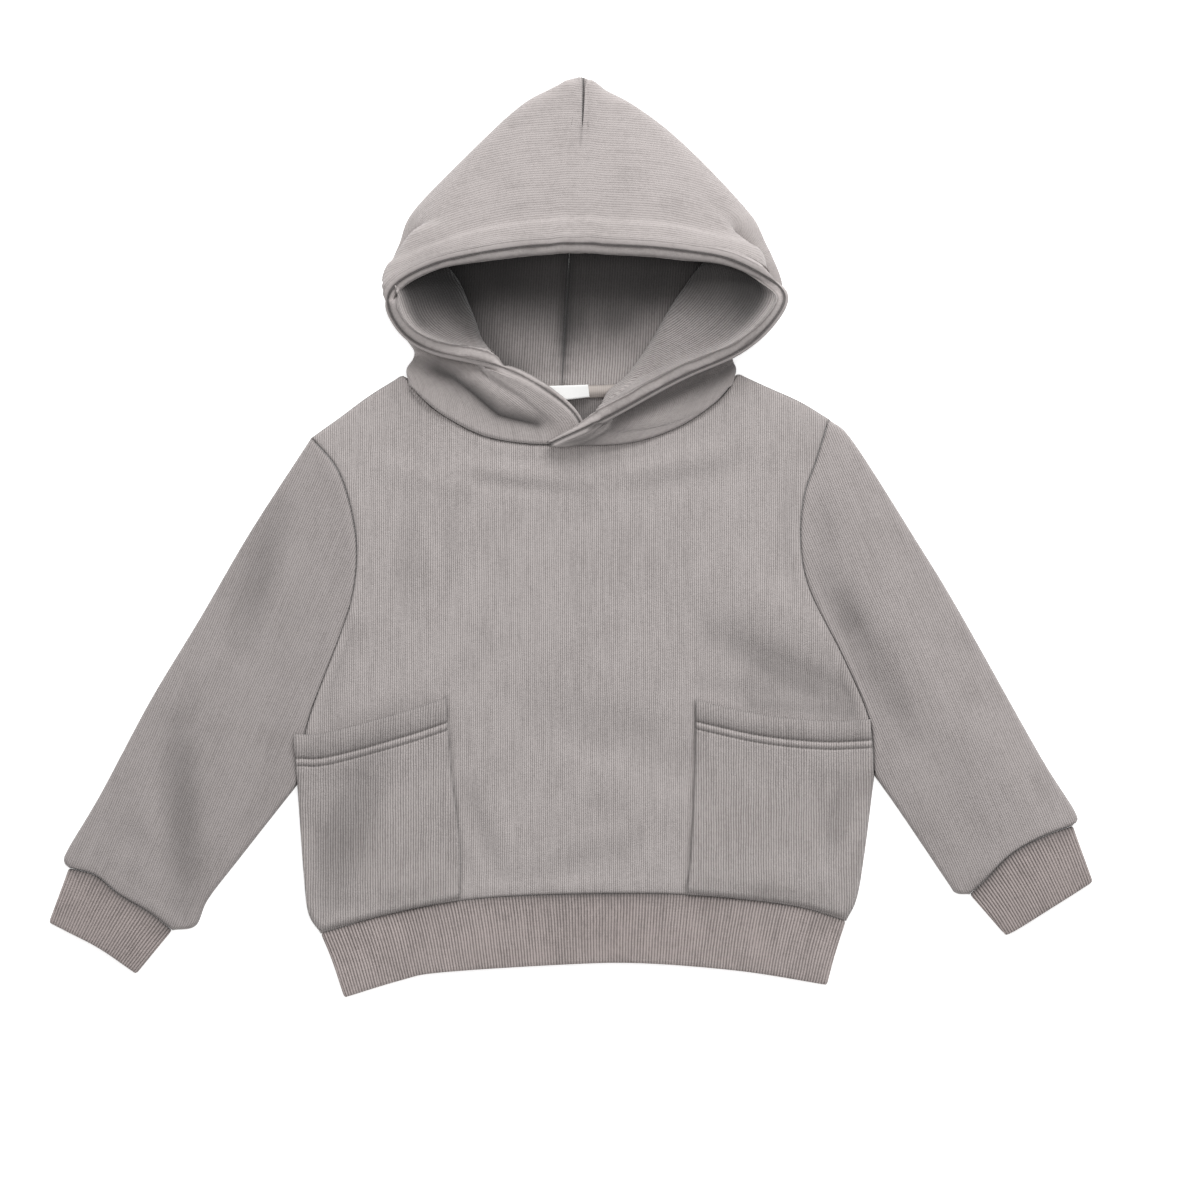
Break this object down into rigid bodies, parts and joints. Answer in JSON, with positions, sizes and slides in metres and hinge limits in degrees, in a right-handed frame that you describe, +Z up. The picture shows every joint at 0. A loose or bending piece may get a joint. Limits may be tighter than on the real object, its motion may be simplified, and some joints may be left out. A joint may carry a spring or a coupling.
{
  "type": "toddler hoodie",
  "caption": "Toddler's pullover hoodie laid flat, front up: an open, lined hood crossed over at the neck, patch pockets, ribbed cuffs and a ribbed hem band.",
  "frame": {"origin": "middle of the whole outline, on the surface the hoodie lies on", "axes": "+X to the sleeve on the right as seen from above, +Y from the hem to the hood, +Z up from the surface"},
  "size_m": [0.668, 0.5872, 0.0351],
  "materials": {
    "sweatshirt_cloth": "matt brushed-back sweatshirt knit, greige",
    "rib_cloth": "matt one-by-one rib, a little darker",
    "neck_tape_cloth": "matt woven twill tape",
    "label_cloth": "smooth white woven label, blank"
  },
  "bodies": {
    "root": {"front_panel": "sweatshirt_cloth", "back_panel": "sweatshirt_cloth", "sleeve_left": "sweatshirt_cloth", "sleeve_right": "sweatshirt_cloth", "cuff_left": "rib_cloth", "cuff_right": "rib_cloth", "hem_band": "rib_cloth", "pocket_left": "sweatshirt_cloth", "pocket_right": "sweatshirt_cloth", "neck_tape": "neck_tape_cloth", "neck_label": "label_cloth", "hood_outer": "sweatshirt_cloth", "hood_lining": "sweatshirt_cloth"}
  },
  "joints": []
}
